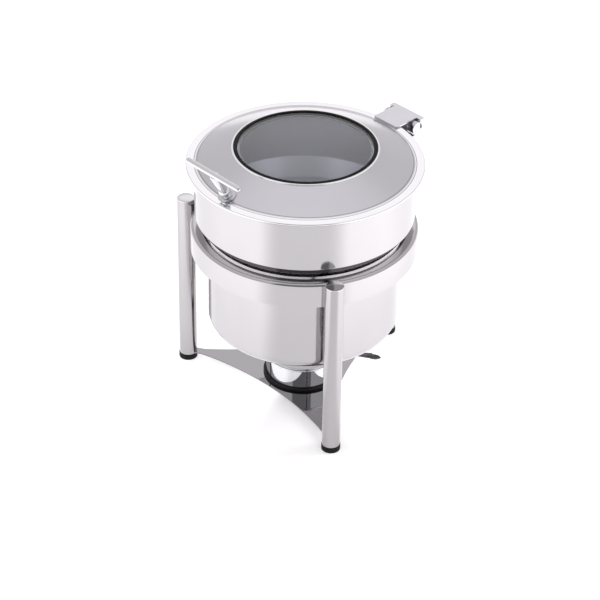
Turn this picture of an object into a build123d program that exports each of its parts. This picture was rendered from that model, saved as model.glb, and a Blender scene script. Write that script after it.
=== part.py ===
from build123d import *
import os
from math import atan2, degrees, hypot

os.makedirs("parts", exist_ok=True)

# Round buffet chafer: a stand on three tubular legs, a stepped water pan with a food pan in it,
# a hinged round lid with a glass window, and a fuel burner on the base plate.
# Millimetres. +Z is up and the floor is z = 0. The handle faces -Y and the hinge +Y.

# ---- driving dimensions ----
lid_r = 180.0              # outer radius of the lid
rim_z = 399.0              # top of the lid's flat rim
sheet = 1.2                # thickness of lid and pan sheet
gap = 0.3                  # play between parts that lift or turn against each other

# lid
rim_inner_r = 165.0        # where the flat rim meets the crease
cone_r = 163.0             # foot of the sloping top
window_r = 111.0           # outside of the bright edge round the window
window_z = 422.0           # height of that edge's foot
edge_roll = 1.6            # radius of that edge's roll
seat_z = 417.5             # ledge under the glass
glass_t = 4.0
glass_rise = 5.0           # crown of the glass

# water pan
drum_r = 167.5             # upper drum, outside
drum_z = 313.0             # bottom corner of the drum
pot_r = 148.0              # lower pot, outside
shoulder_z = 284.0         # where the shoulder meets the pot
pot_z = 116.0              # underside of the pot
pot_fillet = 20.0
pan_rim_r = 178.4
pan_rim_drop = 3.1         # depth of the pan rim's turned edge

# food pan
food_rim_r = 176.5
food_r = 162.0
food_shoulder_z = 311.0
food_pot_r = 143.0
food_pot_z = 283.0
food_floor_z = 128.0

# stand
leg_circle_r = 190.3
leg_r = 14.0
leg_wall = 1.3
leg_top_z = 299.0
foot_r = 14.65
foot_h = 10.0
plug_h = 12.0
cap_h = 3.0
hoop_r = 173.8
hoop_z = 251.0             # bottom edge of the hoop
hoop_top_z = 291.0
hoop_lip_r = 152.5         # inner edge of the lip that carries the pan
hoop_lip_z = 287.0
hoop_t = 2.0
spacer_r = 8.0
screw_z = 269.0
screw_r = 2.5
hole_play = 0.1            # radial room round screws
plate_z = 13.0             # top of the base plate
plate_t = 2.0
plate_tip = 14.0           # width of the plate's tips
plate_waist_r = 68.0       # plate's half width at the middle of each hollow side

# hinge
hinge_y = 207.0
hinge_z = 388.5
knuckle_r = 10.0
knuckle_end = 33.0         # half length of the barrel
knuckle_mid = 20.0         # half length of the fixed knuckle
pin_r = 3.0
pin_play = 0.06
leaf_t = 2.5
leaf_front_y = 168.5
leaf_rear_y = 222.0
leaf_half = 24.5
wing_y = 212.5             # front edge of the leaf's rear wings
bracket_half = 32.0
bracket_z = 345.0
bracket_top = 377.5
bracket_rear_y = 204.0
bracket_plate_y = 171.5    # rear face of the bracket's back plate
bracket_rivet_r = 2.4

# lid handle
bar_reach = 184.0          # distance of the bar from the pan's axis
bar_z = 449.0
bar_r = 4.5
bar_length = 116.0
post_r = 7.0
post_foot_y = -157.0
base_r = 14.0
base_t = 3.0

# burner
cup_r = 57.0
cup_top = 52.0
cup_roll = 1.6             # radius of the cup's rolled rim
cup_wall = 0.8
ring_r = 61.0
ring_h = 4.2
burner_play = 0.2
flame_r = 30.0             # hole in the burner's cover
snuffer_r = 36.0
lever_t = 1.6
handle_angle = 44.0
handle_tip_r = 111.0
lever_angle = 34.5
lever_tip_r = 126.0
pivot_angle = 39.0
pivot_r = 49.0
rivet_r = 2.0
skirt_r = 54.4             # outside of the cover's skirt
cover_t = 1.2
pad_length = 22.0
pad_width = 11.0

leg_angles = {"rear": 90, "left": 210, "right": 330}

# The origin is the middle of the footprint, so the pan's axis stands a little off it.
axis_y = (bar_reach + bar_r - leaf_rear_y) / 2


def save(node, shape):
    """Write one node in the object's frame."""
    shape = Pos(0, axis_y, 0) * shape
    shape.label = node
    export_step(shape, f"parts/{node}.step")
    return shape


def group(shapes):
    """Several separate solids as one node."""
    return Compound([solid for shape in shapes for solid in shape.solids()])


def spin(angle):
    """Placement turned about the pan's axis."""
    return Rot(0, 0, angle)


def turned(outline):
    """Solid of revolution from a closed outline drawn as (radius, height)."""
    return revolve(Plane.XZ * make_face(outline), Axis.Z)


def sheet_turning(points, radii, thickness):
    """Sheet-metal shape of revolution; the sheet lies to the left of the line's direction."""
    line = FilletPolyline(*points, radius=radii)
    return turned(offset(line, amount=thickness, side=Side.LEFT, closed=True))


def disc(radius, z0, z1, x=0.0, y=0.0):
    """Upright cylinder between two heights."""
    return Pos(x, y, z0) * Cylinder(radius, z1 - z0, align=(Align.CENTER, Align.CENTER, Align.MIN))


def block(x0, x1, y0, y1, z0, z1):
    """Box between two corners."""
    return Pos((x0 + x1) / 2, (y0 + y1) / 2, (z0 + z1) / 2) * Box(x1 - x0, y1 - y0, z1 - z0)


def rod_x(radius, x0, x1, y, z):
    """Cylinder along X."""
    return Pos((x0 + x1) / 2, y, z) * Rot(0, 90, 0) * Cylinder(radius, x1 - x0)


def rod_y(radius, y0, y1, x, z):
    """Cylinder along Y."""
    return Pos(x, (y0 + y1) / 2, z) * Rot(90, 0, 0) * Cylinder(radius, y1 - y0)


# ---- stand ----
def leg_tube():
    """One leg, standing at +X, with a slot for the plate's tongue and a hole for the hoop screw."""
    tube = disc(leg_r, foot_h, leg_top_z - cap_h, leg_circle_r)
    tube -= disc(leg_r - leg_wall, foot_h, leg_top_z - cap_h, leg_circle_r)
    slot = block(leg_circle_r - leg_r - 1, leg_circle_r - leg_r + leg_wall + 1,
                 -plate_tip / 2, plate_tip / 2, plate_z - plate_t, plate_z)
    tube -= slot
    tube -= screw_shank(leg_circle_r - leg_r - 1, leg_circle_r - 8, hole_play)
    return tube


def leg_cap():
    """Polished cap pressed into the top of a leg."""
    cap = disc(leg_r, leg_top_z - cap_h, leg_top_z, leg_circle_r)
    cap = fillet(cap.edges().group_by(Axis.Z)[-1], 1.0)
    return cap + disc(leg_r - leg_wall, leg_top_z - cap_h - plug_h, leg_top_z - cap_h, leg_circle_r)


def leg_foot():
    """Rubber foot with a plug that goes up the tube."""
    foot = disc(foot_r, 0, foot_h, leg_circle_r)
    foot = fillet(foot.edges().filter_by(GeomType.CIRCLE), 1.2)
    return foot + disc(leg_r - leg_wall, foot_h, foot_h + plug_h, leg_circle_r)


def screw_shank(r0, r1, play=0.0):
    """Shank of a hoop screw along +X between two radii, or the hole for it."""
    return rod_x(screw_r + play, r0, r1, 0, screw_z)


def hoop():
    """Band between the legs, its top edge rolled in to a lip that carries the pan's shoulder."""
    points = [(hoop_r, hoop_z), (hoop_r, hoop_top_z), (hoop_lip_r + 6, hoop_top_z),
              (hoop_lip_r, hoop_lip_z)]
    band = sheet_turning(points, [5.5, 4.0], hoop_t)
    for angle in leg_angles.values():
        band -= spin(angle) * screw_shank(hoop_r - 8, hoop_r + 2, hole_play)
    return band


def hoop_spacer():
    """Spacer between hoop and leg, hollowed to both."""
    spacer = rod_x(spacer_r, hoop_r - 3, leg_circle_r - 6, 0, screw_z)
    spacer -= disc(hoop_r + 0.02, hoop_z, hoop_top_z)
    spacer -= disc(leg_r, hoop_z, hoop_top_z, leg_circle_r)
    return spacer - screw_shank(hoop_r - 8, leg_circle_r, hole_play)


def hoop_screw():
    """Screw from inside the hoop into the leg."""
    head_r = hoop_r - hoop_t - 0.15
    head = rod_x(4.6, head_r - 3.2, head_r, 0, screw_z)
    head = fillet(head.edges().group_by(Axis.X)[0], 1.4)
    return head + screw_shank(head_r, leg_circle_r - 8)


def base_plate():
    """Thin three-pointed plate with hollow sides; each tip ends in a tongue inside a leg."""
    tip_r = leg_circle_r - leg_r + leg_wall
    neck_r = tip_r - 12
    sides = []
    ends = []
    for angle in leg_angles.values():
        tip = [spin(angle) * Pos(r, s * plate_tip / 2, 0)
               for r, s in ((neck_r, -1), (tip_r, -1), (tip_r, 1), (neck_r, 1))]
        corners = [place.position for place in tip]
        ends.append(corners)
        sides.append(Polyline(*corners))
    for here, after, angle in zip(ends, ends[1:] + ends[:1], leg_angles.values()):
        waist = (spin(angle + 60) * Pos(plate_waist_r, 0, 0)).position
        sides.append(ThreePointArc(here[3], waist, after[0]))
    face = make_face(Wire(edges=[edge for side in sides for edge in side.edges()]))
    return Pos(0, 0, plate_z - plate_t) * extrude(face, plate_t)


# ---- pans ----
def water_pan():
    """Outer vessel: turned rim, drum, shoulder, deep pot."""
    top = rim_z - 2 * sheet - gap
    drum_in = drum_r - sheet
    pot_in = pot_r - sheet
    points = [(pan_rim_r, top - pan_rim_drop), (pan_rim_r, top), (drum_in, top),
              (drum_in, drum_z), (pot_in, shoulder_z), (pot_in, pot_z + sheet), (0, pot_z + sheet)]
    pan = sheet_turning(points, [1.5, 1.5, 3.0, 6.0, pot_fillet], sheet)
    for x, z in rivet_places():
        pan -= rod_y(bracket_rivet_r + hole_play, 140, 180, x, z)
    return pan


def food_pan():
    """Inner vessel that hangs in the water pan by its flange."""
    top = rim_z - sheet - gap
    wide = food_r - sheet
    deep = food_pot_r - sheet
    points = [(food_rim_r, top), (wide, top), (wide, food_shoulder_z), (deep, food_pot_z),
              (deep, food_floor_z), (0, food_floor_z)]
    return sheet_turning(points, [1.5, 5.0, 8.0, pot_fillet], sheet)


# ---- hinge ----
def rivet_places():
    """Positions of the bracket's rivets, (x, z)."""
    return [(x, z) for x in (-22.0, 22.0) for z in (353.0, 370.0)]


def hinge_bracket():
    """Bracket on the drum with the hinge's fixed middle knuckle."""
    arm = block(-bracket_half, bracket_half, 150, bracket_rear_y, bracket_z, bracket_top)
    arm = fillet(arm.edges().filter_by(Axis.X).group_by(Axis.Y)[-1], 6.0)
    hollow = block(-bracket_half + 2.5, bracket_half - 2.5, bracket_plate_y, bracket_rear_y + 5,
                   bracket_z - 5, bracket_top - 3)
    web = block(-knuckle_mid, knuckle_mid, hinge_y - 9, hinge_y + 3, bracket_top - 6, hinge_z)
    barrel = rod_x(knuckle_r, -knuckle_mid, knuckle_mid, hinge_y, hinge_z)
    body = arm - hollow + web + barrel
    body -= disc(drum_r, bracket_z - 5, bracket_top + 5)
    body -= rod_x(pin_r, -knuckle_end, knuckle_end, hinge_y, hinge_z)
    for x, z in rivet_places():
        body -= rod_y(bracket_rivet_r + hole_play, 140, 180, x, z)
    return body


def bracket_rivets():
    """Rivets that hold the bracket to the drum's wall."""
    rivets = []
    for x, z in rivet_places():
        wall_y = (drum_r ** 2 - x ** 2) ** 0.5
        inside_y = wall_y - sheet - 0.6
        shank = rod_y(bracket_rivet_r, inside_y, bracket_plate_y, x, z)
        inner = rod_y(4.2, inside_y - 1.8, inside_y, x, z)
        head = rod_y(4.2, bracket_plate_y, bracket_plate_y + 1.8, x, z)
        outer = fillet(head.edges().group_by(Axis.Y)[-1], 0.8)
        rivets.append(shank + inner + outer)
    return group(rivets)


def hinge_pin():
    """Pin through all three knuckles."""
    return rod_x(pin_r, -knuckle_end + 0.5, knuckle_end - 0.5, hinge_y, hinge_z)


def hinge_leaf():
    """Flat leaf on the lid's rim, with two wings that carry the outer knuckles."""
    leaf = block(-leaf_half, leaf_half, leaf_front_y, leaf_rear_y, rim_z, rim_z + leaf_t)
    leaf = fillet(leaf.edges().filter_by(Axis.Z).group_by(Axis.Y)[0], 3.0)
    wings = block(-knuckle_end, knuckle_end, wing_y, leaf_rear_y, rim_z, rim_z + leaf_t)
    wings = fillet(wings.edges().filter_by(Axis.Z).group_by(Axis.Y)[-1], 3.0)
    leaf += wings
    for side in (-1, 1):
        near, far = sorted((side * (knuckle_mid + gap), side * knuckle_end))
        web = block(near, far, wing_y, leaf_rear_y - 3, hinge_z - 3, rim_z)
        leaf += web + rod_x(knuckle_r, near, far, hinge_y, hinge_z)
    return leaf - rod_x(pin_r + pin_play, -knuckle_end, knuckle_end, hinge_y, hinge_z)


# ---- lid ----
def lid_line():
    """Outer line of the lid from its turned edge to the foot of the window's edge."""
    return [(lid_r, rim_z - 2.4), (lid_r, rim_z), (rim_inner_r, rim_z), (cone_r, rim_z + 1.2),
            (window_r - 3, cone_z(window_r - 3)), (window_r - 3, seat_z), (window_r - 11, seat_z)]


def lid_shell():
    """Pressed lid: flat rim, crease, sloping top, a rolled edge and a seat for the window."""
    shell = sheet_turning(lid_line(), [1.6, 1.5, 1.5, 1.6, 1.0], sheet)
    roll = Torus(window_r - edge_roll, edge_roll) - disc(window_r - 3, -5, 5)
    shell += Pos(0, 0, window_z + 0.6) * roll
    return shell - handle_screw_axis() * Pos(0, 0, -20) * Cylinder(2.6, 40)


def gasket():
    """Black rubber channel round the edge of the glass."""
    outer = window_r - 3.0
    inner = window_r - 8.5
    points = [(outer - 1.2, seat_z), (outer, seat_z + 1.2), (outer, seat_z + 6.2), (outer - 1, seat_z + 7.0),
              (inner + 1, seat_z + 7.4), (inner, seat_z + 6.8), (inner, seat_z)]
    body = turned(Polyline(*points, close=True))
    return body - glass_blank()


def glass_blank():
    """Crowned disc of glass."""
    edge_z = seat_z + 1.5
    glass_r = window_r - 4.5
    low = [(0, edge_z + glass_rise), (glass_r / 2, edge_z + glass_rise * 0.75), (glass_r, edge_z)]
    bottom = ThreePointArc(*low)
    top = ThreePointArc(*[(r, z + glass_t) for r, z in low])
    sides = [Line((0, low[0][1]), (0, low[0][1] + glass_t)), Line(low[2], (glass_r, edge_z + glass_t))]
    return turned([bottom, top] + sides)


def glass_clamp():
    """Ring under the seat that clamps the gasket, with a turned-up outer edge."""
    z = seat_z - sheet
    points = [(window_r - 2.5, z), (window_r - 2.5, z - 1.4), (window_r - 13, z - 1.4),
              (window_r - 13, z + 1.2), (window_r - 11.2, z + 1.2), (window_r - 11.2, z)]
    return turned(Polyline(*points, close=True))


# ---- lid handle ----
def cone_z(radius):
    """Height of the lid's sloping top at a radius."""
    share = (cone_r - radius) / (cone_r - window_r)
    return rim_z + 1.2 + share * (window_z - rim_z - 1.2)


def handle_screw_axis():
    """Placement on the lid's slope at the handle, with Z along the slope's normal."""
    tilt = degrees(atan2(window_z - rim_z - 1.2, cone_r - window_r))
    return Pos(0, post_foot_y, cone_z(-post_foot_y)) * Rot(tilt, 0, 0)


def below_lid():
    """Everything under the lid's sloping surface."""
    top = cone_z(window_r)
    points = [(window_r, top), (cone_r, rim_z + 1.2), (rim_inner_r, rim_z), (lid_r, rim_z),
              (lid_r, rim_z - 20), (window_r, rim_z - 20)]
    return turned(Polyline(*points, close=True))


def handle_base():
    """Round foot of the handle, shaped to the lid."""
    foot = Cylinder(base_r, 2 * base_t)
    foot = fillet(foot.edges().group_by(Axis.Z)[-1], 1.5)
    foot = handle_screw_axis() * foot - below_lid() - lid_shell()
    return foot - handle_screw_axis() * Cylinder(2.6, 20)


def post_place():
    """Placement at the post's foot with Z along the leaning post, and the post's length."""
    start = Vector(0, post_foot_y, cone_z(-post_foot_y))
    end = Vector(0, -bar_reach, bar_z)
    lean = degrees(atan2(start.Y - end.Y, end.Z - start.Z))
    return Pos(*start) * Rot(lean, 0, 0), (end - start).length


def handle_bar():
    """Straight round bar with domed ends."""
    half = bar_length / 2 - bar_r
    bar = rod_x(bar_r, -half, half, -bar_reach, bar_z)
    for side in (-1, 1):
        bar += Pos(side * half, -bar_reach, bar_z) * Sphere(bar_r)
    return bar


def handle_post():
    """Leaning post between foot and bar."""
    place, length = post_place()
    post = place * Cylinder(post_r, length, align=(Align.CENTER, Align.CENTER, Align.MIN))
    keep_out = handle_screw_axis() * Pos(0, 0, base_t - 50) * Cylinder(40, 100)
    post -= keep_out
    post -= handle_bar()
    return post - handle_screw_axis() * Cylinder(2.6, 28)


def handle_screw():
    """Screw from inside the lid through the foot into the post."""
    under = -sheet
    head = Pos(0, 0, under - 2.4) * Cylinder(4.2, 2.4, align=(Align.CENTER, Align.CENTER, Align.MIN))
    shank = Pos(0, 0, under) * Cylinder(2.5, 15, align=(Align.CENTER, Align.CENTER, Align.MIN))
    return handle_screw_axis() * (head + shank) - lid_shell()


# ---- burner ----
burner_z = plate_z + burner_play
cover_z = cup_top + burner_play
snuffer_z = cover_z + cover_t + 0.8


def burner_cup():
    """Open cup with a rolled rim."""
    inner_r = cup_r - cup_wall
    floor_z = burner_z + 1.5 + cup_wall
    cup = sheet_turning([(inner_r, cup_top - cup_roll), (inner_r, floor_z), (0, floor_z)], 3.2, cup_wall)
    roll = Pos(0, 0, cup_top - cup_roll) * Torus(cup_r - cup_wall / 2, cup_roll)
    return cup + roll


def burner_ring():
    """Black ring that the cup stands in."""
    ring = disc(ring_r, burner_z, burner_z + ring_h)
    ring = fillet(ring.edges().group_by(Axis.Z)[-1], 1.2)
    ring -= disc(cup_r - 8, burner_z - 1, burner_z + ring_h + 1)
    points = [(cup_r, burner_z + ring_h + 1), (cup_r, burner_z + 1.5), (cup_r - 12, burner_z + 1.5),
              (cup_r - 12, burner_z + ring_h + 1)]
    line = FilletPolyline(*points[:3], radius=2.6)
    close = [Line(points[2], points[3]), Line(points[3], points[0])]
    return ring - turned([line] + close)


def burner_cover():
    """Loose cover on the cup's rim, with the flame hole and a skirt inside the cup."""
    cover = disc(cup_r - 0.5, cover_z, cover_z + cover_t)
    cover = fillet(cover.edges().group_by(Axis.Z)[-1], 0.5)
    skirt = disc(skirt_r, cover_z - 6, cover_z) - disc(skirt_r - 0.8, cover_z - 8, cover_z)
    cover += skirt
    cover -= disc(flame_r, cover_z - 3, cover_z + 3)
    return cover - spin(pivot_angle) * disc(rivet_r, cover_z - 3, cover_z + 3, pivot_r)


def burner_handle():
    """Fixed flat handle that stands out from under the cup's rim."""
    z = cup_top - 2 * cup_roll - lever_t - gap
    strip = block(cup_r, handle_tip_r, -2.5, 2.5, z, z + lever_t)
    strip = fillet(strip.edges().filter_by(Axis.Z).group_by(Axis.X)[-1], 0.8)
    foot = block(cup_r - 3, cup_r + lever_t, -6, 6, z - 14, z + lever_t)
    strip -= disc(cup_r, z - 2, z + 4)
    foot -= disc(cup_r, z - 16, z + 4)
    return spin(handle_angle) * (strip + foot)


def snuffer():
    """Flat disc that swings over the flame hole, with its lever."""
    z = snuffer_z
    plate = disc(snuffer_r, z, z + 1.2)
    pivot = (spin(pivot_angle) * Pos(pivot_r, 0, 0)).position
    tip = (spin(lever_angle) * Pos(lever_tip_r - pad_length + 3, 0, 0)).position
    plate += strip_between((0, 0), (pivot.X, pivot.Y), 12.0, z, z + 1.2)
    plate += strip_between((pivot.X, pivot.Y), (tip.X, tip.Y), 5.0, z, z + 1.2)
    plate += disc(7.0, z, z + 1.2, pivot.X, pivot.Y)
    return plate - disc(rivet_r + pin_play, z - 1, z + 3, pivot.X, pivot.Y)


def strip_between(start, end, width, z0, z1):
    """Flat strip between two points."""
    dx = end[0] - start[0]
    dy = end[1] - start[1]
    strip = block(0, hypot(dx, dy), -width / 2, width / 2, z0, z1)
    return Pos(start[0], start[1], 0) * Rot(0, 0, degrees(atan2(dy, dx))) * strip


def snuffer_pad():
    """Leaf-shaped finger pad on the end of the lever."""
    z = snuffer_z + 1.2
    start = (lever_tip_r - pad_length, 0)
    end = (lever_tip_r, 0)
    middle = lever_tip_r - pad_length * 0.45
    outline = [ThreePointArc(start, (middle, pad_width / 2), end),
               ThreePointArc(end, (middle, -pad_width / 2), start)]
    pad = Pos(0, 0, z) * extrude(make_face(outline), 2.6)
    return spin(lever_angle) * fillet(pad.edges().group_by(Axis.Z)[-1], 0.8)


def snuffer_rivet():
    """Rivet that the snuffer turns on."""
    head_z = snuffer_z + 1.4
    rivet = disc(rivet_r, cover_z, head_z, pivot_r)
    rivet += disc(3.2, cover_z - 1.0, cover_z, pivot_r)
    head = disc(4.2, head_z, head_z + 1.4, pivot_r)
    rivet += fillet(head.edges().group_by(Axis.Z)[-1], 0.7)
    washer = disc(4.2, cover_z + cover_t, snuffer_z - burner_play, pivot_r)
    return spin(pivot_angle) * (rivet + washer)


def main():
    """Build every node."""
    for name, angle in leg_angles.items():
        save(f"leg_tube_{name}", spin(angle) * leg_tube())
        save(f"leg_cap_{name}", spin(angle) * leg_cap())
        save(f"leg_foot_{name}", spin(angle) * leg_foot())
    save("support_hoop", hoop())
    save("hoop_spacers", group(spin(a) * hoop_spacer() for a in leg_angles.values()))
    save("hoop_screws", group(spin(a) * hoop_screw() for a in leg_angles.values()))
    save("base_plate", base_plate())
    save("water_pan", water_pan())
    save("food_pan", food_pan())
    save("hinge_bracket", hinge_bracket())
    save("bracket_rivets", bracket_rivets())
    save("hinge_pin", hinge_pin())
    save("hinge_leaf", hinge_leaf())
    save("lid_shell", lid_shell())
    save("window_gasket", gasket())
    save("window_glass", glass_blank())
    save("glass_clamp_ring", glass_clamp())
    save("handle_base", handle_base())
    save("handle_post", handle_post())
    save("handle_bar", handle_bar())
    save("handle_screw", handle_screw())
    save("burner_cup", burner_cup())
    save("burner_ring", burner_ring())
    save("burner_cover", burner_cover())
    save("burner_handle", burner_handle())
    save("snuffer", snuffer())
    save("snuffer_pad", snuffer_pad())
    save("snuffer_rivet", snuffer_rivet())


main()
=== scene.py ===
from math import atan2, cos, degrees, hypot, pi, radians, sin, sqrt, tan

import bmesh
import bpy
from mathutils import Matrix, Vector


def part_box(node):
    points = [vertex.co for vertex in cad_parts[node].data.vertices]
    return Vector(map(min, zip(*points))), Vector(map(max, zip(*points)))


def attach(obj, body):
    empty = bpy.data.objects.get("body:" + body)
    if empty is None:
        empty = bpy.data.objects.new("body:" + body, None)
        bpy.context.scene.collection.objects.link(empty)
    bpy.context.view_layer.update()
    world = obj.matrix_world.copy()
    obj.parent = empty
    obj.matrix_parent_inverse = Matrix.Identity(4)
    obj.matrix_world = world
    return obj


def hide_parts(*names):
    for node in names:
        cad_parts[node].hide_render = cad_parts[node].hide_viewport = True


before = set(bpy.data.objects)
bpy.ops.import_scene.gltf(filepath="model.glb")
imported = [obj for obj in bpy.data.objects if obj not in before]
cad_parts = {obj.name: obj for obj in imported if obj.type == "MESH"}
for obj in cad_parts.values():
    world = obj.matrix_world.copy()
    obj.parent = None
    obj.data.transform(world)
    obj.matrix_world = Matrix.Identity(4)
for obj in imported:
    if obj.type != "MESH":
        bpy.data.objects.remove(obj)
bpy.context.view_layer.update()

# Round buffet chafer. Everything is in metres in the frame of the parts, with the floor at z = 0.
# Each visible piece is a fine smooth mesh that stands for the part of the same shape and place.

MM = 0.001


# ---------------------------------------------------------------- places from the frame
def low(node):
    """Lowest corner of a part."""
    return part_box(node)[0]


def high(node):
    """Highest corner of a part."""
    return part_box(node)[1]


def middle(node):
    """Middle of a part's box."""
    return (Vector(low(node)) + Vector(high(node))) / 2


def width(node):
    """Size of a part along X."""
    return high(node)[0] - low(node)[0]


AXIS = Vector((0.0, middle("window_glass").y, 0.0))   # the pans' axis on the floor
LEGS = {"rear": 90.0, "left": 210.0, "right": 330.0}   # angles about the axis
SHEET = 1.2 * MM            # thickness of lid and pan sheet
RIM_Z = 399.0 * MM          # top of the lid's flat rim
LID_R = 180 * MM
CREASE_R = 165 * MM         # inner edge of the flat rim
CONE_R = 163 * MM           # foot of the sloping top
CREASE_RISE = 1.2 * MM      # step from the rim to the foot of the slope
WINDOW_R = 111 * MM         # outside of the bright edge round the window
WINDOW_Z = 422 * MM
SEAT_Z = 417.5 * MM         # shelf that carries the gasket
LID_SLOPE = (WINDOW_Z - RIM_Z - CREASE_RISE) / (CONE_R - WINDOW_R)
GLASS_THICKNESS = 4 * MM
DRUM_R = 167.5 * MM         # upper drum of the water pan, outside
POT_R = 148 * MM            # lower pot of the water pan, outside
FOOD_R = 162 * MM           # upper part of the food pan, outside
FOOD_DEEP_R = 143 * MM      # deep part of the food pan, outside
LEG_WALL = 1.3 * MM
FOOT_TOP = 10 * MM
HINGE_Y = AXIS.y + 207 * MM
HINGE_Z = 388.5 * MM
KNUCKLE_R = 10 * MM
CUP_R = 57 * MM
CUP_WALL = 0.8 * MM
ROLL_R = 1.6 * MM           # rolled edges of the cup and the window's opening


# ---------------------------------------------------------------- mesh helpers
def new_object(name, mesh):
    """An object in the scene for a mesh."""
    obj = bpy.data.objects.new(name, mesh)
    bpy.context.scene.collection.objects.link(obj)
    return obj


def finish_mesh(bm, name, sharp=30.0):
    """Turns a bmesh into a smooth-shaded object with sharp edges kept sharp."""
    bmesh.ops.remove_doubles(bm, verts=bm.verts, dist=1e-7)
    bmesh.ops.recalc_face_normals(bm, faces=bm.faces)
    mesh = bpy.data.meshes.new(name)
    bm.to_mesh(mesh)
    bm.free()
    for face in mesh.polygons:
        face.use_smooth = True
    mesh.set_sharp_from_angle(angle=radians(sharp))
    return new_object(name, mesh)


def lathe(name, outline, centre=AXIS, segments=256):
    """Closed solid of revolution from a closed outline of (radius, height)."""
    bm = bmesh.new()
    rings = []
    for radius, height in outline:
        if radius < 1e-6:
            rings.append([bm.verts.new((centre.x, centre.y, height))])
            continue
        ring = []
        for i in range(segments):
            a = 2 * pi * i / segments
            ring.append(bm.verts.new((centre.x + radius * cos(a), centre.y + radius * sin(a), height)))
        rings.append(ring)
    for here, after in zip(rings, rings[1:] + rings[:1]):
        if len(here) == 1 and len(after) == 1:
            continue
        for i in range(segments):
            j = (i + 1) % segments
            corners = (here[i % len(here)], here[j % len(here)],
                       after[j % len(after)], after[i % len(after)])
            bm.faces.new(list(dict.fromkeys(corners)))
    return finish_mesh(bm, name)


def turn_left(a, b, c):
    """Signed turn at b on the way from a to c, in radians, positive to the left."""
    first = atan2(b[1] - a[1], b[0] - a[0])
    second = atan2(c[1] - b[1], c[0] - b[0])
    return (second - first + pi) % (2 * pi) - pi


def rounded(points, radii, step=9.0):
    """An open line with its corners rounded; radii has one value for each inner corner."""
    line = [points[0]]
    for i, radius in enumerate(radii):
        a, b, c = points[i], points[i + 1], points[i + 2]
        turn = turn_left(a, b, c)
        if radius < 1e-6 or abs(turn) < 1e-4:
            line.append(b)
            continue
        back = radius * tan(abs(turn) / 2)
        ab = hypot(b[0] - a[0], b[1] - a[1])
        ux, uy = (b[0] - a[0]) / ab, (b[1] - a[1]) / ab
        side = 1 if turn > 0 else -1
        start = (b[0] - ux * back, b[1] - uy * back)
        centre = (start[0] - uy * radius * side, start[1] + ux * radius * side)
        steps = max(3, int(abs(degrees(turn)) / step) + 1)
        first = atan2(start[1] - centre[1], start[0] - centre[0])
        for k in range(steps + 1):
            t = first + turn * k / steps
            line.append((centre[0] + radius * cos(t), centre[1] + radius * sin(t)))
    line.append(points[-1])
    return line


def beside(points, distance):
    """The line moved to its left by a distance, with mitred corners."""
    moved = []
    for i, (x, y) in enumerate(points):
        before = points[max(i - 1, 0)]
        after = points[min(i + 1, len(points) - 1)]
        normals = []
        for p, q in ((before, (x, y)), ((x, y), after)):
            length = hypot(q[0] - p[0], q[1] - p[1])
            if length > 1e-9:
                normals.append((-(q[1] - p[1]) / length, (q[0] - p[0]) / length))
        nx = sum(n[0] for n in normals) / len(normals)
        ny = sum(n[1] for n in normals) / len(normals)
        scale = distance / (nx * nx + ny * ny)
        moved.append((x + nx * scale, y + ny * scale))
    return moved


def sheet_outline(points, radii, thickness):
    """Closed outline of bent sheet that lies to the left of a line."""
    inner = []
    for i, radius in enumerate(radii):
        turn = turn_left(points[i], points[i + 1], points[i + 2])
        inner.append(max(radius - thickness, 0.15 * MM) if turn > 0 else radius + thickness)
    near = rounded(points, radii)
    far = rounded(beside(points, thickness), inner)
    return near + far[::-1]


def closed_rounded(points, radii, step=15.0):
    """A closed outline with its corners rounded."""
    start = tuple((points[0][k] + points[-1][k]) / 2 for k in (0, 1))
    return rounded([start] + list(points) + [start], radii, step)[:-1]


def roll_outline(centre_r, centre_z):
    """Round section of a rolled edge."""
    angles = (2 * pi * k / 24 for k in range(24))
    return [(centre_r + ROLL_R * cos(a), centre_z + ROLL_R * sin(a)) for a in angles]


def capsule_outline(radius, bottom, top, lower_round, upper_round):
    """Outline of an upright round bar with rounded ends."""
    points = [(0, bottom), (radius, bottom), (radius, top), (0, top)]
    return rounded(points, [lower_round, upper_round], 10.0)


def bevelled(obj, amount, segments=3):
    """Rounds the hard edges of a piece."""
    bevel = obj.modifiers.new("edges", "BEVEL")
    bevel.width = amount
    bevel.segments = segments
    bevel.limit_method = "ANGLE"
    bevel.angle_limit = radians(35)
    return obj


def slab(name, outline, z0, z1, bevel=0.3 * MM):
    """Flat piece from a closed outline of (x, y) between two heights."""
    bm = bmesh.new()
    lower = [bm.verts.new((x, y, z0)) for x, y in outline]
    upper = [bm.verts.new((x, y, z1)) for x, y in outline]
    bm.faces.new(lower[::-1])
    bm.faces.new(upper)
    for i in range(len(outline)):
        j = (i + 1) % len(outline)
        bm.faces.new([lower[i], lower[j], upper[j], upper[i]])
    return bevelled(finish_mesh(bm, name, 40.0), bevel)


def block(name, x, y, z, bevel=0.3 * MM):
    """Box between pairs of limits, with rounded edges."""
    outline = [(x[0], y[0]), (x[1], y[0]), (x[1], y[1]), (x[0], y[1])]
    return slab(name, outline, z[0], z[1], bevel)


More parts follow.
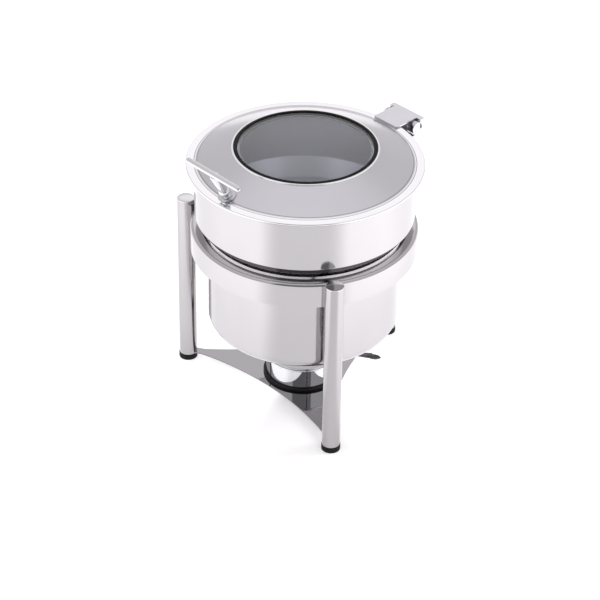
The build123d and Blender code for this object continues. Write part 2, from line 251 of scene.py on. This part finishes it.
def arc_through(a, b, c, steps):
    """Inner points of the circular arc from a through b to c in the plane."""
    d = 2 * (a.x * (b.y - c.y) + b.x * (c.y - a.y) + c.x * (a.y - b.y))
    aa, bb, cc = a.length_squared, b.length_squared, c.length_squared
    centre = Vector(((aa * (b.y - c.y) + bb * (c.y - a.y) + cc * (a.y - b.y)) / d,
                     (aa * (c.x - b.x) + bb * (a.x - c.x) + cc * (b.x - a.x)) / d, 0))
    first = atan2(a.y - centre.y, a.x - centre.x)
    last = atan2(c.y - centre.y, c.x - centre.x)
    mid = atan2(b.y - centre.y, b.x - centre.x)
    sweep = (last - first) % (2 * pi)
    if (mid - first) % (2 * pi) > sweep:
        sweep -= 2 * pi
    radius = (a - centre).length
    return [centre + Vector((cos(first + sweep * k / steps), sin(first + sweep * k / steps), 0)) * radius
            for k in range(1, steps)]


def along(start, end):
    """Matrix that puts the origin at start and Z towards end."""
    turn = (end - start).to_track_quat("Z", "Y").to_matrix().to_4x4()
    return Matrix.Translation(start) @ turn


def placed_lathe(name, outline, matrix, segments=64):
    """A turned piece about any axis: its own Z axis goes to the matrix's Z."""
    obj = lathe(name, outline, Vector((0, 0, 0)), segments)
    obj.data.transform(matrix)
    obj.data.update()
    return obj


def rod_x(name, radius, x0, x1, y, z, edge=0.5 * MM, segments=64):
    """Round bar along X with softened ends."""
    outline = capsule_outline(radius, 0, x1 - x0, edge, edge)
    return placed_lathe(name, outline, along(Vector((x0, y, z)), Vector((x1, y, z))), segments)


def about_axis(angle, radius):
    """Point at an angle and distance from the pans' axis."""
    return AXIS + Matrix.Rotation(radians(angle), 3, "Z") @ Vector((radius, 0, 0))


# ---------------------------------------------------------------- materials
class Tree:
    """Short way to build a node tree."""

    def __init__(self, tree):
        self.tree = tree

    def add(self, kind, inputs=None, **settings):
        """A node with some of its settings, values and links."""
        node = self.tree.nodes.new(kind)
        for key, value in settings.items():
            setattr(node, key, value)
        for key, value in (inputs or {}).items():
            self.put(node.inputs[key], value)
        return node

    def put(self, socket, value):
        """Links or sets one socket."""
        if isinstance(value, bpy.types.NodeSocket):
            self.tree.links.new(value, socket)
        else:
            socket.default_value = value

    def math(self, operation, *values):
        """Result of a maths node."""
        return self.add("ShaderNodeMath", dict(enumerate(values)), operation=operation).outputs[0]

    def vector(self, operation, *values, output=0):
        """Result of a vector maths node."""
        return self.add("ShaderNodeVectorMath", dict(enumerate(values)), operation=operation).outputs[output]

    def soft_step(self, value, start, end, low_end=0.0, high_end=1.0):
        """Smooth passage from one level to another."""
        inputs = {"Value": value, "From Min": start, "From Max": end, "To Min": low_end, "To Max": high_end}
        return self.add("ShaderNodeMapRange", inputs, interpolation_type="SMOOTHSTEP").outputs[0]

    def ramp(self, value, low_end, high_end, start=0.3, end=0.7):
        """Remaps a value to a range."""
        inputs = {"Value": value, "From Min": start, "From Max": end, "To Min": low_end, "To Max": high_end}
        return self.add("ShaderNodeMapRange", inputs).outputs[0]

    def mix(self, value, first, second):
        """Colour between two by a value."""
        node = self.add("ShaderNodeMix", {"Factor": value}, data_type="RGBA")
        self.put(node.inputs["A"], first)
        self.put(node.inputs["B"], second)
        return node.outputs["Result"]


class Nodes(Tree):
    """A material and its main shader."""

    def __init__(self, name):
        self.material = bpy.data.materials.new(name)
        self.material.use_nodes = True
        super().__init__(self.material.node_tree)
        self.shader = self.tree.nodes["Principled BSDF"]
        self.coords = self.add("ShaderNodeTexCoord").outputs["Object"]

    def set(self, **values):
        """Sets the main shader's sockets; an underscore stands for a space."""
        for key, value in values.items():
            self.put(self.shader.inputs[key.replace("_", " ")], value)

    def noise(self, scale, detail=3.0, stretch=(1, 1, 1), rough=0.5):
        """Noise over the object's own coordinates."""
        place = self.add("ShaderNodeMapping", {"Vector": self.coords, "Scale": stretch})
        inputs = {"Vector": place.outputs[0], "Scale": scale, "Detail": detail, "Roughness": rough}
        return self.add("ShaderNodeTexNoise", inputs).outputs["Fac"]

    def tint(self, value, dark, light):
        """Colour between two plain ones by a value."""
        return self.mix(value, (*dark, 1), (*light, 1))

    def radius(self):
        """Distance from the pans' axis, and height."""
        parts = self.add("ShaderNodeSeparateXYZ", {"Vector": self.coords})
        y = self.math("ADD", parts.outputs["Y"], -AXIS.y)
        pair = self.add("ShaderNodeCombineXYZ", {"X": parts.outputs["X"], "Y": y}).outputs[0]
        return self.vector("LENGTH", pair, output="Value"), parts.outputs["Z"]

    def turning_lines(self, along_radius, scale):
        """Fine noise in rings about the axis: by radius on flat parts, by height on walls."""
        radius, height = self.radius()
        value = radius if along_radius else height
        vector = self.add("ShaderNodeCombineXYZ", {"X": value}).outputs[0]
        inputs = {"Vector": vector, "Scale": scale, "Detail": 4.0, "Roughness": 0.6}
        return self.add("ShaderNodeTexNoise", inputs).outputs["Fac"]

    def bump(self, value, strength, depth):
        """Bump from a value."""
        inputs = {"Height": value, "Strength": strength, "Distance": depth}
        return self.add("ShaderNodeBump", inputs).outputs["Normal"]


def steel(name, dark, light, rough, lines=None, bump=0.03, wear=0.04):
    """Stainless steel: cloudy roughness and fine scratches, or lines turned round a wall."""
    m = Nodes(name)
    cloud = m.noise(9.0)
    smear = m.noise(55.0, 5.0, rough=0.65)
    m.set(Metallic=1.0, Base_Color=m.tint(cloud, dark, light))
    m.set(Roughness=m.ramp(smear, rough - wear, rough + wear, 0.25, 0.75))
    if lines is None:
        height = m.noise(420.0, 4.0, stretch=(1, 1, 6))
    else:
        height = m.turning_lines(False, lines)
    m.set(Normal=m.bump(height, bump, 0.0004))
    return m.material


def lid_finish_and_painted_light(name):
    """Satin sloping top with two painted shade lines at the creases of its foot, painted shade on the shelf
    under the gasket, and a polished rim whose extra brightness is painted light.
    """
    m = Nodes(name)
    radius = m.radius()[0]
    rim = m.ramp(radius, 0.0, 1.0, 163.2 * MM, 164.2 * MM)
    satin = m.tint(m.noise(9.0), (0.56, 0.545, 0.58), (0.61, 0.595, 0.63))
    # Polished rim colour, far lighter than the satin: the polish is real, the extra brightness is painted
    # light.
    bright = m.tint(m.noise(9.0), (0.78, 0.77, 0.79), (0.84, 0.83, 0.85))
    colour = m.mix(rim, satin, bright)
    # Painted shade: two dark lines at the creases either side of the step at the foot of the slope.
    inner = m.math("COMPARE", radius, 162.4 * MM, 0.5 * MM)
    outer = m.math("COMPARE", radius, 166.8 * MM, 0.6 * MM)
    crease_painted_shade = m.mix(m.math("MAXIMUM", inner, outer), colour, (0.30, 0.29, 0.31, 1))
    # Painted shade: inside the gasket the shelf is darkened to a third, for the shade under the gasket and
    # glass.
    seat_painted_shade = m.ramp(radius, 0.36, 1.0, 107.0 * MM, 107.6 * MM)
    shaded = m.add("ShaderNodeVectorMath", {0: crease_painted_shade, "Scale": seat_painted_shade}, operation="SCALE")
    m.set(Metallic=1.0, Base_Color=shaded.outputs[0])
    grain = m.noise(55.0, 5.0, rough=0.65)
    m.set(Roughness=m.ramp(rim, m.ramp(grain, 0.15, 0.20, 0.25, 0.75), 0.12, 0.0, 1.0))
    m.set(Normal=m.bump(m.turning_lines(True, 900.0), 0.03, 0.0004))
    return m.material


def rubber(name, colour, rough):
    """Moulded rubber with a fine grain."""
    m = Nodes(name)
    dark = tuple(c * 0.7 for c in colour)
    m.set(Base_Color=m.tint(m.noise(60.0), dark, colour))
    m.set(Roughness=m.ramp(m.noise(90.0, 4.0), rough - 0.08, rough + 0.08))
    m.set(Normal=m.bump(m.noise(1500.0, 2.0), 0.15, 0.0002), Specular_IOR_Level=0.2)
    return m.material


def enamel(name, colour, rough):
    """Baked black enamel with a soft orange-peel gloss."""
    m = Nodes(name)
    light = tuple(c * 1.6 for c in colour)
    m.set(Base_Color=m.tint(m.noise(40.0), colour, light))
    m.set(Roughness=m.ramp(m.noise(80.0, 4.0), rough - 0.05, rough + 0.1))
    m.set(Normal=m.bump(m.noise(500.0, 2.0), 0.08, 0.0003))
    m.set(Specular_IOR_Level=0.3)
    return m.material


def window(name):
    """Faintly grey tempered glass."""
    m = Nodes(name)
    m.set(Base_Color=m.tint(m.noise(6.0), (0.87, 0.89, 0.94), (0.92, 0.935, 0.975)))
    m.set(Roughness=m.ramp(m.noise(30.0), 0.0, 0.02))
    m.set(Transmission_Weight=1.0, IOR=1.45)
    return m.material


polished = steel("polished_steel", (0.62, 0.61, 0.63), (0.70, 0.69, 0.71), 0.09)
# Painted highlight: a brighter copy of the polished steel for the rolled edges of the window and the cup.
painted_highlight_edge = steel("painted_highlight_edge", (0.80, 0.80, 0.81), (0.88, 0.88, 0.89), 0.16)
# Painted shade: a darker copy of the drum steel for the leg tubes.
shaded_leg_steel = steel("shaded_leg_steel", (0.41, 0.395, 0.405), (0.46, 0.445, 0.455), 0.12, bump=0.04)
mirror = steel("mirror_steel", (0.72, 0.73, 0.75), (0.78, 0.79, 0.81), 0.03, bump=0.006, wear=0.015)
# Painted shade: darker than the other steel, for the darker surroundings that the base plate reflects.
shaded_plate_steel = steel("shaded_plate_steel", (0.33, 0.32, 0.335), (0.36, 0.35, 0.365), 0.06, bump=0.01, wear=0.03)
drum_steel = steel("drum_steel", (0.47, 0.455, 0.47), (0.52, 0.505, 0.52), 0.10, lines=700.0, bump=0.02)
# Painted light: brighter than the other steel, to light up the inside of the food pan under the glass.
lit_food_steel = steel("lit_food_pan_steel", (0.78, 0.78, 0.83), (0.85, 0.85, 0.90), 0.36, lines=500.0, bump=0.05)
lid_steel = lid_finish_and_painted_light("lid_steel")
hinge_steel = steel("hinge_steel", (0.54, 0.53, 0.56), (0.62, 0.61, 0.64), 0.18)
# Painted shade: near-black steel for the clamp ring in the recess under the glass.
shaded_seat_steel = steel("shaded_seat_steel", (0.14, 0.14, 0.155), (0.19, 0.19, 0.205), 0.30)
lever_steel = steel("lever_steel", (0.10, 0.10, 0.105), (0.15, 0.15, 0.155), 0.25)
black_rubber = rubber("black_rubber", (0.006, 0.006, 0.007), 0.6)
black_enamel = enamel("black_enamel", (0.004, 0.004, 0.005), 0.4)
glass = window("window_glass")


def dress(obj, material, body, *nodes, slot=None):
    """Gives a new piece its material and body, and hides the parts it stands for; the finish slot is not
    used.
    """
    obj.data.materials.clear()
    obj.data.materials.append(material)
    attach(obj, body)
    if nodes:
        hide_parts(*nodes)


def repaint(node, material):
    """A better material on a part that stays."""
    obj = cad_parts[node]
    for place in obj.material_slots:
        place.material = material


# ---------------------------------------------------------------- camera
VIEW_AZIMUTH = 46.04
VIEW_PITCH = 34.23
VIEW_YAW = 0.09
VIEW_ROLL = 0.92
VIEW_DISTANCE = 3.067
VIEW_HEIGHT = 2.233
LENS = 143.0

camera_data = bpy.data.cameras.new("camera")
camera_data.lens = LENS
camera_data.sensor_width = 36.0
camera_data.clip_end = 50.0
camera = new_object("camera", camera_data)
bearing = radians(VIEW_AZIMUTH)
toward_camera = (sin(bearing), -cos(bearing), 0)
camera.matrix_world = (
    Matrix.Translation(AXIS + Vector(toward_camera) * VIEW_DISTANCE + Vector((0, 0, VIEW_HEIGHT)))
    @ Matrix.Rotation(radians(VIEW_AZIMUTH + VIEW_YAW), 4, "Z")
    @ Matrix.Rotation(radians(90 - VIEW_PITCH), 4, "X")
    @ Matrix.Rotation(radians(VIEW_ROLL), 4, "Z"))
bpy.context.scene.camera = camera


# ---------------------------------------------------------------- pieces
def build_pans():
    """Water pan and food pan."""
    rim_r = width("water_pan") / 2
    top = RIM_Z - 2 * SHEET - 0.3 * MM
    drum_in = rim_r - 10.9 * MM - SHEET
    pot_in = POT_R - SHEET
    bottom = low("water_pan")[2]
    points = [(rim_r, top - 3.1 * MM), (rim_r, top), (drum_in, top),
              (drum_in, 313 * MM), (pot_in, 284 * MM), (pot_in, bottom + SHEET), (0, bottom + SHEET)]
    outline = sheet_outline(points, [1.5 * MM, 1.5 * MM, 3 * MM, 6 * MM, 20 * MM], SHEET)
    pan = lathe("water_pan_drawn", outline)
    dress(pan, drum_steel, "pans", "water_pan", slot="pan_steel")

    top = high("food_pan")[2]
    wide = FOOD_R - SHEET
    deep = FOOD_DEEP_R - SHEET
    floor = low("food_pan")[2] + SHEET
    points = [(width("food_pan") / 2, top), (wide, top), (wide, 311 * MM), (deep, 283 * MM),
              (deep, floor), (0, floor)]
    outline = sheet_outline(points, [1.5 * MM, 5 * MM, 8 * MM, 20 * MM], SHEET)
    pan = lathe("food_pan_drawn", outline)
    dress(pan, lit_food_steel, "pans", "food_pan", slot="pan_steel")


def build_lid():
    """Lid pressing and the rolled edge round its window, which carries a painted highlight."""
    cone_z = RIM_Z + CREASE_RISE
    edge = WINDOW_R - 3 * MM
    edge_z = cone_z + LID_SLOPE * (CONE_R - edge)
    points = [(LID_R, RIM_Z - 2.4 * MM), (LID_R, RIM_Z), (CREASE_R, RIM_Z), (CONE_R, cone_z),
              (edge, edge_z), (edge, SEAT_Z), (WINDOW_R - 11 * MM, SEAT_Z)]
    outline = sheet_outline(points, [1.6 * MM, 1.5 * MM, 1.5 * MM, 1.6 * MM, 1.0 * MM], SHEET)
    lid = lathe("lid_pressing", outline)
    dress(lid, lid_steel, "lid", "lid_shell", slot="satin_steel")
    roll = lathe("window_edge_roll", roll_outline(WINDOW_R - ROLL_R, WINDOW_Z + 0.6 * MM))
    dress(roll, painted_highlight_edge, "lid", slot="polished_steel")


def build_window():
    """Gasket, crowned glass and the ring that clamps them."""
    outer = width("window_gasket") / 2
    inner = 102.5 * MM
    glass_r = width("window_glass") / 2
    glass_low = SEAT_Z + 1.5 * MM
    glass_high = glass_low + GLASS_THICKNESS
    points = [(outer - 1.2 * MM, SEAT_Z), (inner, SEAT_Z), (inner, glass_low), (glass_r, glass_low),
              (glass_r, glass_high), (inner, glass_high + 0.6 * MM), (inner + 1 * MM, SEAT_Z + 7.4 * MM),
              (outer - 1 * MM, SEAT_Z + 7.0 * MM), (outer, SEAT_Z + 6.2 * MM), (outer, SEAT_Z + 1.2 * MM)]
    ring = lathe("gasket_channel", points)
    dress(ring, black_rubber, "lid", "window_gasket", slot="black_rubber")

    rise = 5.0 * MM
    steps = 16
    lower = [(glass_r * k / steps, glass_low + rise * (1 - (k / steps) ** 2)) for k in range(steps + 1)]
    upper = [(r, z + GLASS_THICKNESS) for r, z in lower]
    pane = lathe("glass_pane", lower + upper[::-1])
    dress(pane, glass, "lid", "window_glass", slot="window_glass")

    outer, neck, bore = 108.5 * MM, 99.8 * MM, 98 * MM
    bottom = low("glass_clamp_ring")[2]
    flange = bottom + 1.4 * MM
    lip = bottom + 2.6 * MM
    points = [(outer, flange), (outer, bottom), (bore, bottom), (bore, lip), (neck, lip), (neck, flange)]
    ring = lathe("clamp_ring_turned", closed_rounded(points, [0.3 * MM] * 6))
    dress(ring, shaded_seat_steel, "lid", "glass_clamp_ring", slot="satin_steel")


def build_hoop():
    """Support hoop with its rolled-in lip."""
    outer = width("support_hoop") / 2
    bottom = low("support_hoop")[2]
    top = high("support_hoop")[2]
    lip = 152.5 * MM
    points = [(outer, bottom), (outer, top), (lip + 6 * MM, top), (lip, top - 4 * MM)]
    hoop = lathe("hoop_band", sheet_outline(points, [5.5 * MM, 4 * MM], 2 * MM))
    dress(hoop, drum_steel, "stand", "support_hoop", slot="polished_steel")


def build_legs():
    """Tubes, caps and feet."""
    for name in LEGS:
        centre = middle(f"leg_tube_{name}")
        centre.z = 0
        radius = width(f"leg_foot_{name}") / 2 - 0.65 * MM
        cap_z = high(f"leg_tube_{name}")[2]
        top = high(f"leg_cap_{name}")[2]
        bore = radius - LEG_WALL
        points = [(radius, FOOT_TOP), (radius, cap_z), (bore, cap_z), (bore, FOOT_TOP)]
        tube = lathe(f"tube_{name}", closed_rounded(points, [0.25 * MM] * 4), centre, 96)
        dress(tube, shaded_leg_steel, "stand", f"leg_tube_{name}", slot="polished_steel")
        dome = [(radius * k / 8, top - 1.1 * MM * (k / 8) ** 2) for k in range(8, -1, -1)]
        radii = [0.2 * MM, 0.9 * MM] + [0] * 7
        outline = rounded([(0, cap_z), (radius, cap_z)] + dome, radii, 10.0)
        cap = lathe(f"cap_{name}", outline, centre, 96)
        dress(cap, polished, "stand", f"leg_cap_{name}", slot="polished_steel")
        foot_r = width(f"leg_foot_{name}") / 2
        outline = capsule_outline(foot_r, 0, FOOT_TOP, 1.2 * MM, 1.2 * MM)
        foot = lathe(f"foot_{name}", outline, centre, 96)
        dress(foot, black_rubber, "stand", f"leg_foot_{name}", slot="black_rubber")


def build_base_plate():
    """Three-pointed plate with hollow sides."""
    top = high("base_plate")[2]
    tip_r = 177.6 * MM
    neck_r = tip_r - 12 * MM
    half = 7 * MM
    waist = 68 * MM
    outline = []
    for angle in LEGS.values():
        turn = Matrix.Rotation(radians(angle), 4, "Z")
        outline += [turn @ Vector((neck_r, -half, 0)), turn @ Vector((tip_r, -half, 0)),
                    turn @ Vector((tip_r, half, 0)), turn @ Vector((neck_r, half, 0))]
        start = Vector((neck_r, half, 0))
        finish = Matrix.Rotation(radians(120), 4, "Z") @ Vector((neck_r, -half, 0))
        bottom = Vector((waist * cos(radians(60)), waist * sin(radians(60)), 0))
        outline += [turn @ p for p in arc_through(start, bottom, finish, 48)]
    points = [(AXIS.x + p.x, AXIS.y + p.y) for p in outline]
    plate = slab("plate_three_points", points, low("base_plate")[2], top, 0.4 * MM)
    dress(plate, shaded_plate_steel, "stand", "base_plate", slot="mirror_steel")


def build_handle():
    """Foot, leaning post with an oval boss, and straight grip with domed ends."""
    bar_mid = middle("handle_bar")
    bar_r = (high("handle_bar")[2] - low("handle_bar")[2]) / 2
    half = width("handle_bar") / 2
    round_end = bar_r * 0.98
    bar = rod_x("grip_bar", bar_r, -half, half, bar_mid.y, bar_mid.z, round_end)
    dress(bar, polished, "lid", "handle_bar", slot="polished_steel")

    foot_r = 157 * MM
    foot_mid = Vector((0, AXIS.y - foot_r, RIM_Z + CREASE_RISE + (CONE_R - foot_r) * LID_SLOPE))
    normal = Vector((0, -LID_SLOPE, 1)).normalized()
    outline = [(0, -1.0 * MM), (14 * MM, -1.0 * MM), (14 * MM, 2 * MM), (12.5 * MM, 3 * MM), (0, 3 * MM)]
    outline = rounded(outline, [0, 1.0 * MM, 1.0 * MM], 12.0)
    foot = placed_lathe("handle_foot", outline, along(foot_mid, foot_mid + normal), 96)
    dress(foot, hinge_steel, "lid", "handle_base", slot="polished_steel")

    top = Vector((0, bar_mid.y, bar_mid.z))
    length = (top - foot_mid).length
    post_r = 7 * MM
    outline = rounded([(0, 2 * MM), (post_r + 1.5 * MM, 2 * MM), (post_r, 6 * MM), (post_r, length - 2 * MM),
                       (0, length - 2 * MM)], [0.4 * MM, 3 * MM, 2.5 * MM], 10.0)
    post = placed_lathe("handle_stem", outline, along(foot_mid, top))
    dress(post, mirror, "lid", "handle_post", slot="polished_steel")
    steps = 18
    outline = [(9.2 * MM * sin(pi * k / steps), 12 * MM - 7.0 * MM * cos(pi * k / steps))
               for k in range(steps + 1)]
    boss = placed_lathe("handle_boss", outline, along(foot_mid, top))
    dress(boss, mirror, "lid", slot="polished_steel")


def build_hinge():
    """Bracket on the drum, pin, and the leaf on the lid's rim."""
    top = high("hinge_leaf")[2]
    front = low("hinge_leaf")[1]
    rear = high("hinge_leaf")[1]
    wing = AXIS.y + 212.5 * MM
    outline = [(-24.5, front), (24.5, front), (24.5, wing), (33, wing), (33, rear), (-33, rear),
               (-33, wing), (-24.5, wing)]
    outline = [(x * MM, y) for x, y in outline]
    outline = closed_rounded(outline, [r * MM for r in (3, 3, 0.3, 0.3, 3, 3, 0.3, 0.3)], 10.0)
    leaf = slab("leaf_plate", outline, top - 2.5 * MM, top, 0.5 * MM)
    dress(leaf, hinge_steel, "lid", "hinge_leaf", slot="hinge_steel")
    for side in (-1, 1):
        near, far = sorted((side * 20.3 * MM, side * 33 * MM))
        web = block("leaf_web", (near, far), (wing, rear - 3 * MM),
                    (HINGE_Z - 3 * MM, top - 2.4 * MM), 0.2 * MM)
        dress(web, hinge_steel, "lid", slot="hinge_steel")
        knuckle = rod_x("leaf_knuckle", KNUCKLE_R, near, far, HINGE_Y, HINGE_Z, 1.0 * MM)
        dress(knuckle, hinge_steel, "lid", slot="hinge_steel")
    barrel_half = 20 * MM
    barrel = rod_x("bracket_barrel", KNUCKLE_R, -barrel_half, barrel_half, HINGE_Y, HINGE_Z, 0.8 * MM)
    dress(barrel, hinge_steel, "pans", slot="hinge_steel")
    pin = rod_x("pin", 3 * MM, low("hinge_pin")[0], high("hinge_pin")[0], HINGE_Y, HINGE_Z, 0.6 * MM, 32)
    dress(pin, polished, "pans", "hinge_pin", slot="hinge_steel")

    half = 32 * MM
    bottom = low("hinge_bracket")[2]
    shelf = 377.5 * MM
    rear = AXIS.y + 204 * MM
    web = block("bracket_web", (-barrel_half, barrel_half), (HINGE_Y - 9 * MM, HINGE_Y + 3 * MM),
                (shelf - 6 * MM, HINGE_Z), 0.2 * MM)
    dress(web, hinge_steel, "pans", slot="hinge_steel")
    xs = [-half + 2 * half * k / 24 for k in range(25)]
    curve = [(x, AXIS.y + sqrt(DRUM_R ** 2 - x ** 2)) for x in xs]
    plate_y = AXIS.y + 171.5 * MM
    under = shelf - 2.9 * MM
    plate = slab("bracket_plate", curve + [(half, plate_y), (-half, plate_y)], bottom, under)
    dress(plate, hinge_steel, "pans", "hinge_bracket", slot="hinge_steel")
    outline = curve + [(half, rear), (-half, rear)]
    shelf_plate = slab("bracket_shelf", outline, shelf - 3 * MM, shelf, 0.5 * MM)
    dress(shelf_plate, hinge_steel, "pans", slot="hinge_steel")
    for side in (-1, 1):
        x = sorted((side * half, side * (half - 2.5 * MM)))
        cheek = block("bracket_cheek", x, (plate_y - 0.1 * MM, rear), (bottom, under), 0.4 * MM)
        dress(cheek, hinge_steel, "pans", slot="hinge_steel")
    repaint("bracket_rivets", polished)


def build_burner():
    """Cup, black ring, cover, snuffer and the two flat levers."""
    inner = CUP_R - CUP_WALL
    top = 52 * MM
    floor = low("burner_cup")[2] + CUP_WALL
    points = [(inner, top - ROLL_R), (inner, floor), (0, floor)]
    cup = lathe("cup_drawn", sheet_outline(points, [3.2 * MM], CUP_WALL), segments=192)
    dress(cup, mirror, "burner", "burner_cup", slot="mirror_steel")
    roll = lathe("cup_edge_roll", roll_outline(CUP_R - CUP_WALL / 2, top - ROLL_R), segments=192)
    dress(roll, painted_highlight_edge, "burner", slot="mirror_steel")

    low_z = low("burner_ring")[2]
    high_z = high("burner_ring")[2]
    outer = width("burner_ring") / 2
    step = low_z + 1.5 * MM
    inner, bore = 49 * MM, CUP_R + 0.02 * MM
    points = [(inner, low_z), (outer, low_z), (outer, high_z), (bore, high_z), (bore, step), (inner, step)]
    radii = [r * MM for r in (0.2, 0.4, 1.2, 0.4, 2.2, 0.2)]
    ring = lathe("ring_moulded", closed_rounded(points, radii), segments=192)
    dress(ring, black_enamel, "burner", "burner_ring", slot="black_metal")

    cover_z = 52.2 * MM
    cover_top = cover_z + 1.2 * MM
    skirt_z = cover_z - 6 * MM
    skirt = 54.4 * MM
    flame_r, rim_r = 30 * MM, CUP_R - 0.5 * MM
    points = [(flame_r, cover_z), (skirt - CUP_WALL, cover_z), (skirt - CUP_WALL, skirt_z), (skirt, skirt_z),
              (skirt, cover_z), (rim_r, cover_z), (rim_r, cover_top), (flame_r, cover_top)]
    radii = [r * MM for r in (0.3, 0.2, 0.2, 0.2, 0.2, 0.3, 0.5, 0.3)]
    cover = lathe("cover_pressed", closed_rounded(points, radii), segments=192)
    dress(cover, mirror, "burner_lid", "burner_cover", slot="mirror_steel")

    pivot = about_axis(39, 49 * MM)
    head = 55.6 * MM
    upset_r, shank_r, head_r = 3.2 * MM, 2 * MM, 4.2 * MM
    upset_z, head_top = cover_z - 1 * MM, head + 1.4 * MM
    points = [(0, upset_z), (upset_r, upset_z), (upset_r, cover_z), (shank_r, cover_z),
              (shank_r, head), (head_r, head), (head_r, head_top), (0, head_top)]
    outline = rounded(points, [r * MM for r in (0.2, 0.2, 0, 0, 0.2, 0.7)])
    rivet = lathe("rivet_turned", outline, pivot, 64)
    dress(rivet, polished, "burner_lid", "snuffer_rivet", slot="polished_steel")
    levers = {"burner_handle": "black_metal", "snuffer": "black_metal", "snuffer_pad": "black_plastic"}
    for node, slot in levers.items():
        repaint(node, lever_steel)


def build_fixings():
    """Spacers and screws between hoop and legs, and the handle's screw."""
    for node in ("hoop_spacers", "hoop_screws", "handle_screw"):
        repaint(node, polished)


build_pans()
build_lid()
build_window()
build_hoop()
build_legs()
build_base_plate()
build_handle()
build_hinge()
build_burner()
build_fixings()


# ---------------------------------------------------------------- studio
GAP_HALF_ANGLE = 28.0     # half width of the dark gap behind the camera, in degrees
GAP_LEVEL = 0.35          # what is left of the sky in the gap
SIDE_LEVEL = 0.82         # sky near the horizon
TOP_LEVEL = 1.02          # sky overhead
SCREEN_LEVEL = 0.36       # bright screen opposite the camera
SCREEN_HEIGHT = 34.0      # its height in degrees
FLOOR_GLOW = 0.62         # light of the floor away from the camera
FLOOR_DIP = 0.38          # least light of the floor
FLOOR_REAR = 0.25         # share of the glow behind the object
FLOOR_NEAR = 0.6          # share of the glow close to the object
SIDE_POWER = 4.0


def area_light(name, place, aim, size, power):
    """A soft box that points at a place."""
    data = bpy.data.lights.new(name, "AREA")
    data.shape = "RECTANGLE"
    data.size, data.size_y = size
    data.energy = power
    light = new_object(name, data)
    light.location = place
    light.rotation_mode = "QUATERNION"
    light.rotation_quaternion = (Vector(aim) - Vector(place)).to_track_quat("-Z", "Y")
    return light


def sky():
    """Pale surroundings, brighter overhead, a bright screen behind and a dark gap in front."""
    world = bpy.data.worlds.new("studio")
    world.use_nodes = True
    m = Tree(world.node_tree)
    direction = m.add("ShaderNodeTexCoord").outputs["Generated"]
    height = m.add("ShaderNodeSeparateXYZ", {"Vector": direction}).outputs["Z"]
    flat = m.vector("NORMALIZE", m.vector("MULTIPLY", direction, (1, 1, 0)))
    facing = m.vector("DOT_PRODUCT", flat, toward_camera, output="Value")
    across = m.soft_step(facing, cos(radians(GAP_HALF_ANGLE + 3)), cos(radians(GAP_HALF_ANGLE)))
    above = m.soft_step(height, -0.05, 0.05)
    below = m.soft_step(height, sin(radians(62)), sin(radians(55)))
    gap = m.math("MULTIPLY", across, m.math("MULTIPLY", above, below))
    overhead = m.soft_step(height, sin(radians(40)), sin(radians(75)))
    level = m.ramp(overhead, SIDE_LEVEL, TOP_LEVEL, 0.0, 1.0)
    level = m.math("MULTIPLY", level, m.ramp(gap, 1.0, GAP_LEVEL, 0.0, 1.0))
    rise = radians(SCREEN_HEIGHT)
    back = (-sin(bearing) * cos(rise), cos(bearing) * cos(rise), sin(rise))
    toward = m.vector("DOT_PRODUCT", direction, back, output="Value")
    screen = m.math("MULTIPLY", m.soft_step(toward, cos(radians(15)), cos(radians(6))), SCREEN_LEVEL)
    background = m.tree.nodes["Background"]
    m.put(background.inputs["Strength"], m.math("ADD", level, screen))
    m.put(background.inputs["Color"], (1.0, 0.985, 1.0, 1))
    bpy.context.scene.world = world


def floor_material():
    """Matt white that glows, least toward the camera and near the object."""
    m = Nodes("studio_floor")
    m.set(Base_Color=m.tint(m.noise(2.0), (0.88, 0.88, 0.88), (0.90, 0.90, 0.90)), Roughness=0.9)
    centred = m.vector("ADD", m.coords, tuple(-AXIS))
    facing = m.vector("DOT_PRODUCT", m.vector("NORMALIZE", centred), toward_camera, output="Value")
    distance = m.vector("LENGTH", centred, output="Value")
    front = m.soft_step(facing, cos(radians(44)), cos(radians(20)), FLOOR_GLOW, 0.0)
    rear = m.soft_step(facing, cos(radians(150)), cos(radians(75)), FLOOR_REAR)
    near = m.soft_step(distance, 0.2, 0.65, FLOOR_NEAR)
    glow = m.math("MULTIPLY_ADD", m.math("MULTIPLY", front, rear), near, FLOOR_DIP)
    m.set(Emission_Color=(1, 0.99, 1, 1), Emission_Strength=glow)
    return m.material


def studio():
    """Pale floor, pale surroundings and soft boxes."""
    bm = bmesh.new()
    bmesh.ops.create_grid(bm, x_segments=1, y_segments=1, size=12.0)
    floor = finish_mesh(bm, "floor")
    floor.data.materials.append(floor_material())
    sky()
    turn = Matrix.Rotation(bearing, 3, "Z")
    for side in (-1, 1):
        aim = AXIS + turn @ Vector((side * 0.7, 0.0, 0))
        place = AXIS + turn @ Vector((side * 1.3, 0.1, 1.1))
        light = area_light("side_box", place, aim, (0.5, 0.9), SIDE_POWER * (1 + 0.5 * side))
        light.visible_glossy = False
    bpy.context.scene.view_settings.view_transform = "Standard"


studio()
